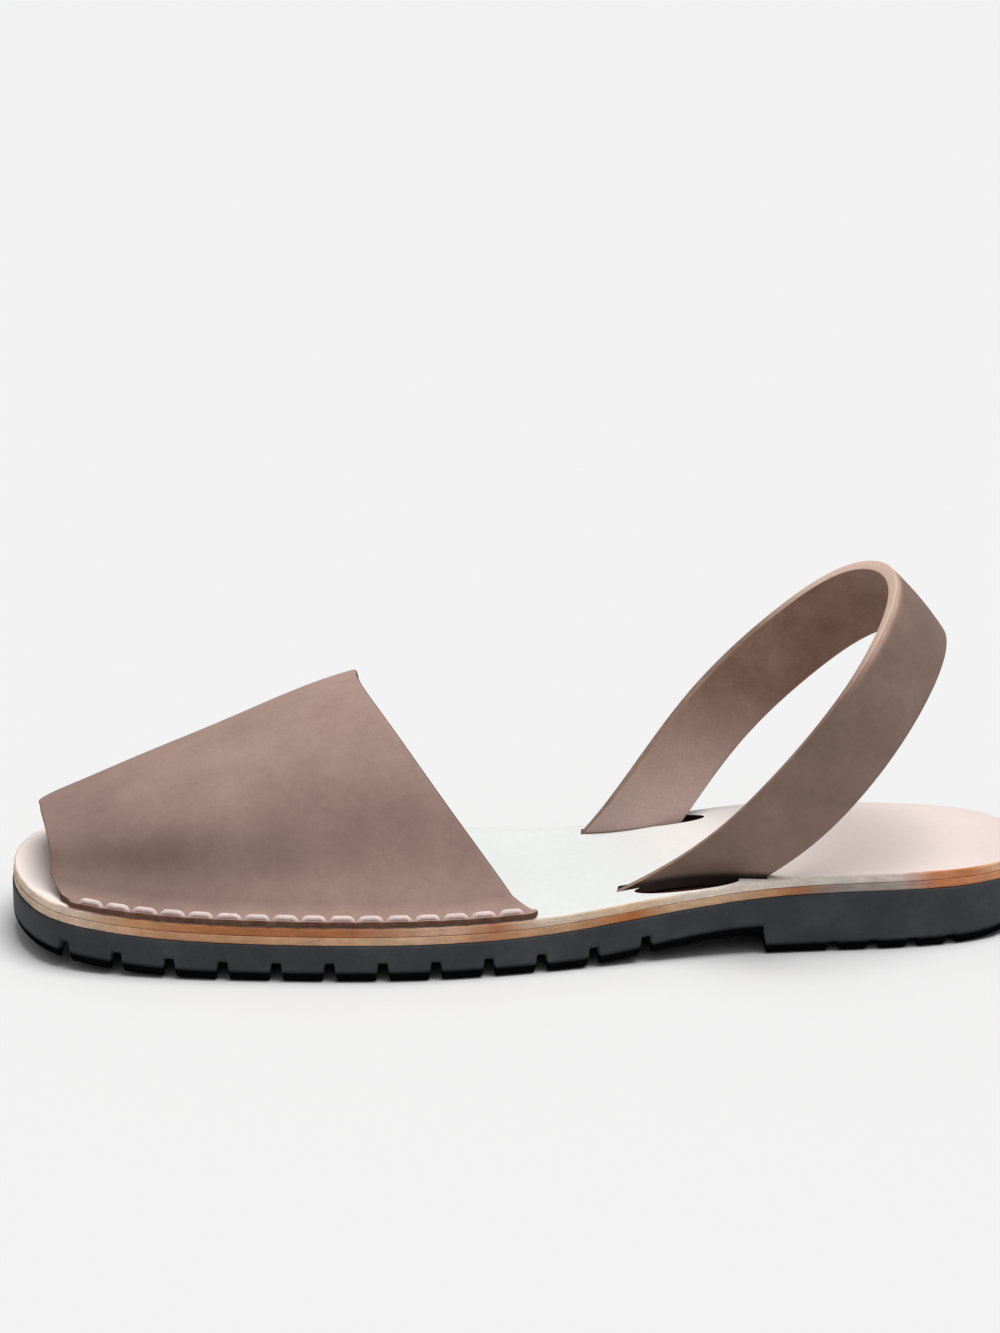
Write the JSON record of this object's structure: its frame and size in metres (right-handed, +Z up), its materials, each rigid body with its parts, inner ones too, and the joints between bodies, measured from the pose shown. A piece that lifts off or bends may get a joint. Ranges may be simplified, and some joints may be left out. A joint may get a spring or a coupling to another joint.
{
  "type": "avarca sandal",
  "caption": "Left avarca sandal: lugged rubber outsole, leather midsole and insole, open-toed vamp with stitched flanges, and a heel strap that loops through slots in the insole.",
  "frame": {"origin": "on the floor, under the middle of the sandal's box", "axes": "+X to the heel, -X to the toe, -Y to the lateral side, +Y to the medial side, +Z up"},
  "size_m": [0.257, 0.092, 0.0894],
  "materials": {
    "rubber": "matt black rubber, faintly mottled",
    "sole_leather": "raw tan leather with a fibrous cut edge",
    "insole_leather": "smooth cream leather, faintly pink, satin",
    "nubuck": "taupe nubuck with a soft nap and a lighter cut edge",
    "strap_leather": "taupe nubuck outside, brown suede inside, lighter cut edges"
  },
  "bodies": {
    "root": {"outsole": "rubber", "midsole": "sole_leather", "insole": "insole_leather", "vamp": "nubuck", "heel_strap": "strap_leather"}
  },
  "joints": []
}
